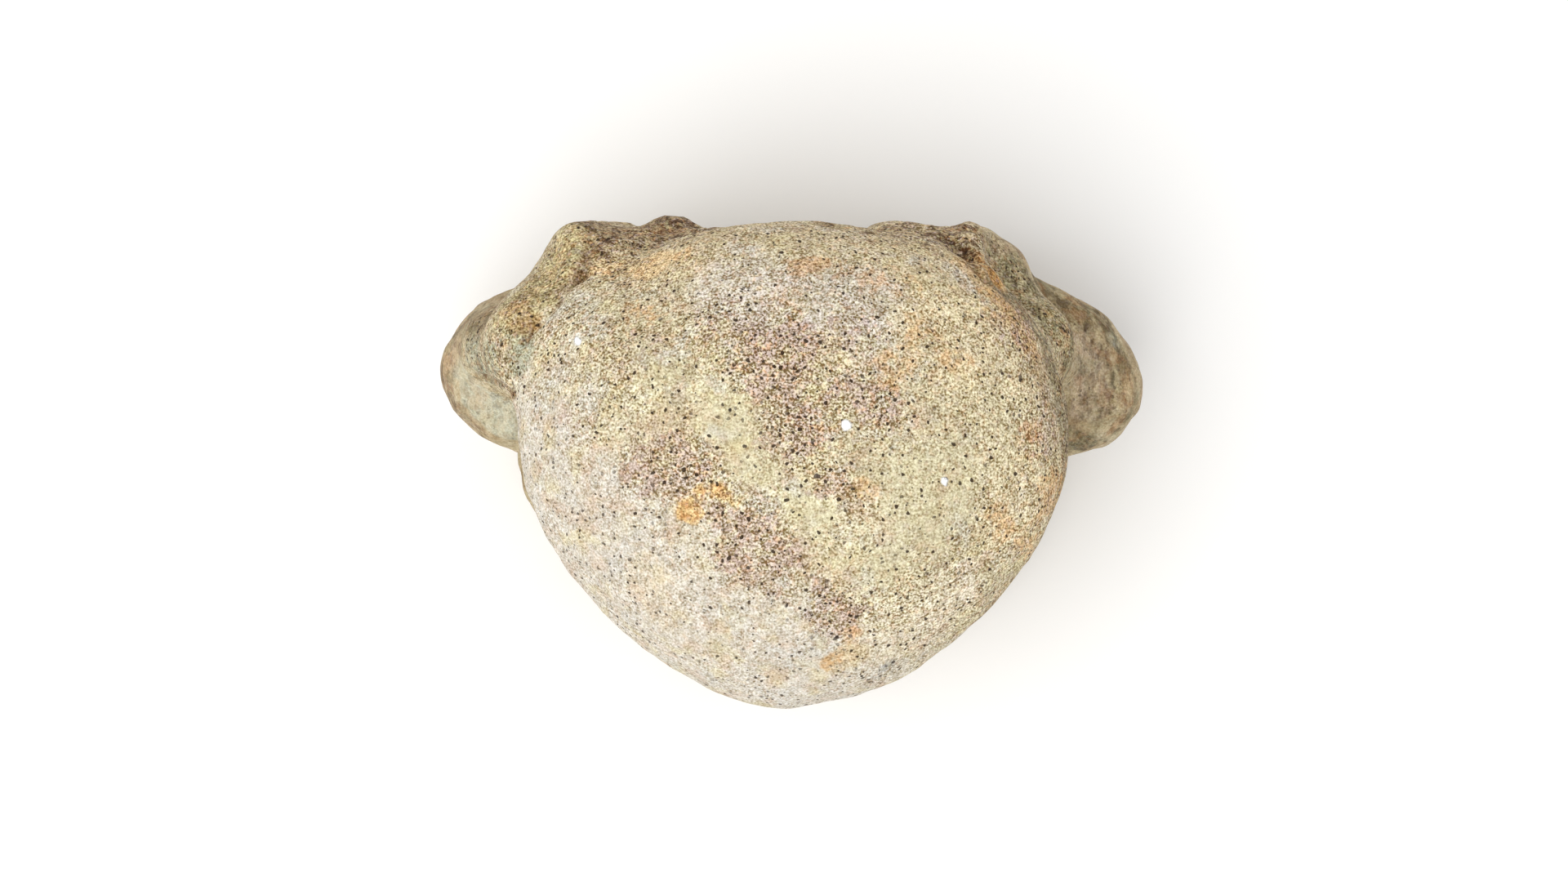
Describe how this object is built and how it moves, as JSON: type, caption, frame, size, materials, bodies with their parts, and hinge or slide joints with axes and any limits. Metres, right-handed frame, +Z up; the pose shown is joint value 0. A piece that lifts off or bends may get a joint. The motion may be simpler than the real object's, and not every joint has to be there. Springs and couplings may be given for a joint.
{
  "type": "fossil reptile vertebra",
  "caption": "Fossil trunk vertebra of a sea lizard: a spool-shaped centrum with a domed rear face, a hollow front face, side knobs and broken arch stumps.",
  "frame": {"origin": "centre of the bounding box, on the surface that the worn rim of the hollow front face rests on", "axes": "+Z up along the long axis of the centrum, from the hollow front face to the domed rear face; +Y towards the animal's back, where the neural arch stood; +X to the right when the dome is looked at with the back up"},
  "size_m": [0.0958, 0.0652, 0.0717],
  "materials": {
    "fossil_bone": "matt sandy cream-yellow fossil bone with mauve-brown and ochre stains, fine pores, and darker brown broken surfaces"
  },
  "bodies": {
    "root": {"vertebra": "fossil_bone"}
  },
  "joints": []
}
